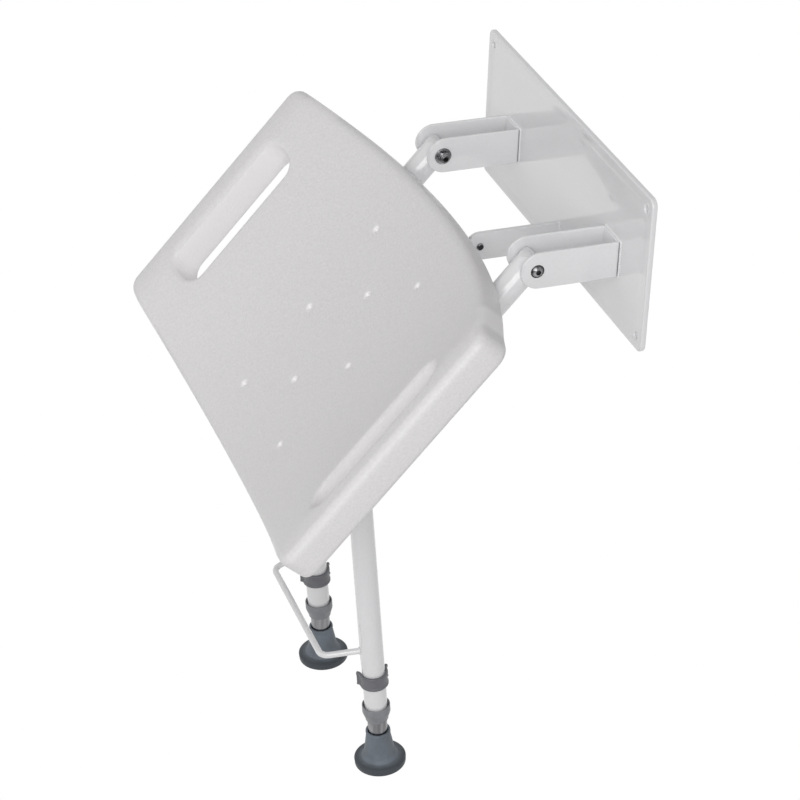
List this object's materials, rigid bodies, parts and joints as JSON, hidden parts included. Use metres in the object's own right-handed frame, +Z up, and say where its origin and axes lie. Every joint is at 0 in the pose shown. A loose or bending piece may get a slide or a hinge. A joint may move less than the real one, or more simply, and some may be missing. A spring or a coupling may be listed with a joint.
{
  "type": "fold down wall seat",
  "caption": "Fold-down seat on a wall plate: a dished board with hand slots on a hinged tube frame, its legs kept upright by a link and adjustable in height.",
  "frame": {"origin": "middle of the wall plate's back face", "axes": "+Y into the wall, +Z up, +X along the wall to the right of somebody who faces the wall"},
  "size_m": [0.51, 0.3484, 0.6282],
  "materials": {
    "white_powder_coat": "gloss",
    "white_board": "satin, finely textured",
    "grey_plastic": "satin",
    "grey_rubber": "matte",
    "bright_steel": "polished",
    "bare_aluminium": "drawn, bright"
  },
  "bodies": {
    "wall": {"wall_plate": "white_powder_coat", "left_clevis": "white_powder_coat", "right_clevis": "white_powder_coat", "link_bracket": "white_powder_coat", "pivot_bolts": "bright_steel", "pivot_nuts": "bright_steel", "pivot_washers": "bright_steel", "link_bolt": "bright_steel"},
    "seat": {"seat_board": "white_board", "left_seat_tube": "white_powder_coat", "right_seat_tube": "white_powder_coat", "front_crossbar": "white_powder_coat", "pivot_bushes": "grey_plastic", "seat_tube_plugs": "grey_plastic", "board_screws": "bright_steel", "leg_pivot_bolts": "bright_steel", "leg_pivot_nuts": "bright_steel", "leg_spacers": "grey_plastic"},
    "legs": {"left_leg_tube": "white_powder_coat", "right_leg_tube": "white_powder_coat", "leg_brace": "white_powder_coat", "link_lug": "white_powder_coat", "lug_bolt": "bright_steel", "foot_bar": "white_powder_coat", "leg_plugs": "grey_plastic", "left_collar": "grey_plastic", "right_collar": "grey_plastic"},
    "link": {"link_bar": "white_powder_coat"},
    "left_clip": {"left_clip": "grey_plastic"},
    "right_clip": {"right_clip": "grey_plastic"},
    "left_lower": {"left_inner_leg": "bare_aluminium", "left_foot": "grey_rubber"},
    "right_lower": {"right_inner_leg": "bare_aluminium", "right_foot": "grey_rubber"}
  },
  "joints": [
    {"name": "seat_fold", "type": "hinge", "parent": "wall", "child": "seat", "pos_m": [0, -0.082, -0.009], "axis": [-1, 0, 0], "range_deg": [0, 133]},
    {"name": "leg_fold", "type": "hinge", "parent": "seat", "child": "legs", "pos_m": [0, -0.22844, -0.17452], "axis": [1, 0, 0], "range_deg": [0, 118.8]},
    {"name": "link_swing", "type": "hinge", "parent": "wall", "child": "link", "pos_m": [0, -0.082, -0.0523], "axis": [-1, 0, 0], "range_deg": [0, 133]},
    {"name": "left_height", "type": "slide", "parent": "legs", "child": "left_lower", "axis": [0, 0.0906, -0.9959], "range_m": [0, 0.15]},
    {"name": "right_height", "type": "slide", "parent": "legs", "child": "right_lower", "axis": [0, 0.0906, -0.9959], "range_m": [0, 0.15]},
    {"name": "left_clip_pull", "type": "slide", "parent": "legs", "child": "left_clip", "axis": [1, 0, 0], "range_m": [0, 0.03]},
    {"name": "right_clip_pull", "type": "slide", "parent": "legs", "child": "right_clip", "axis": [1, 0, 0], "range_m": [0, 0.03]}
  ],
  "couplings": [
    {"joint": "leg_fold", "follows": "seat_fold", "ratio": 0.89278},
    {"joint": "link_swing", "follows": "seat_fold", "ratio": 0.9984}
  ]
}
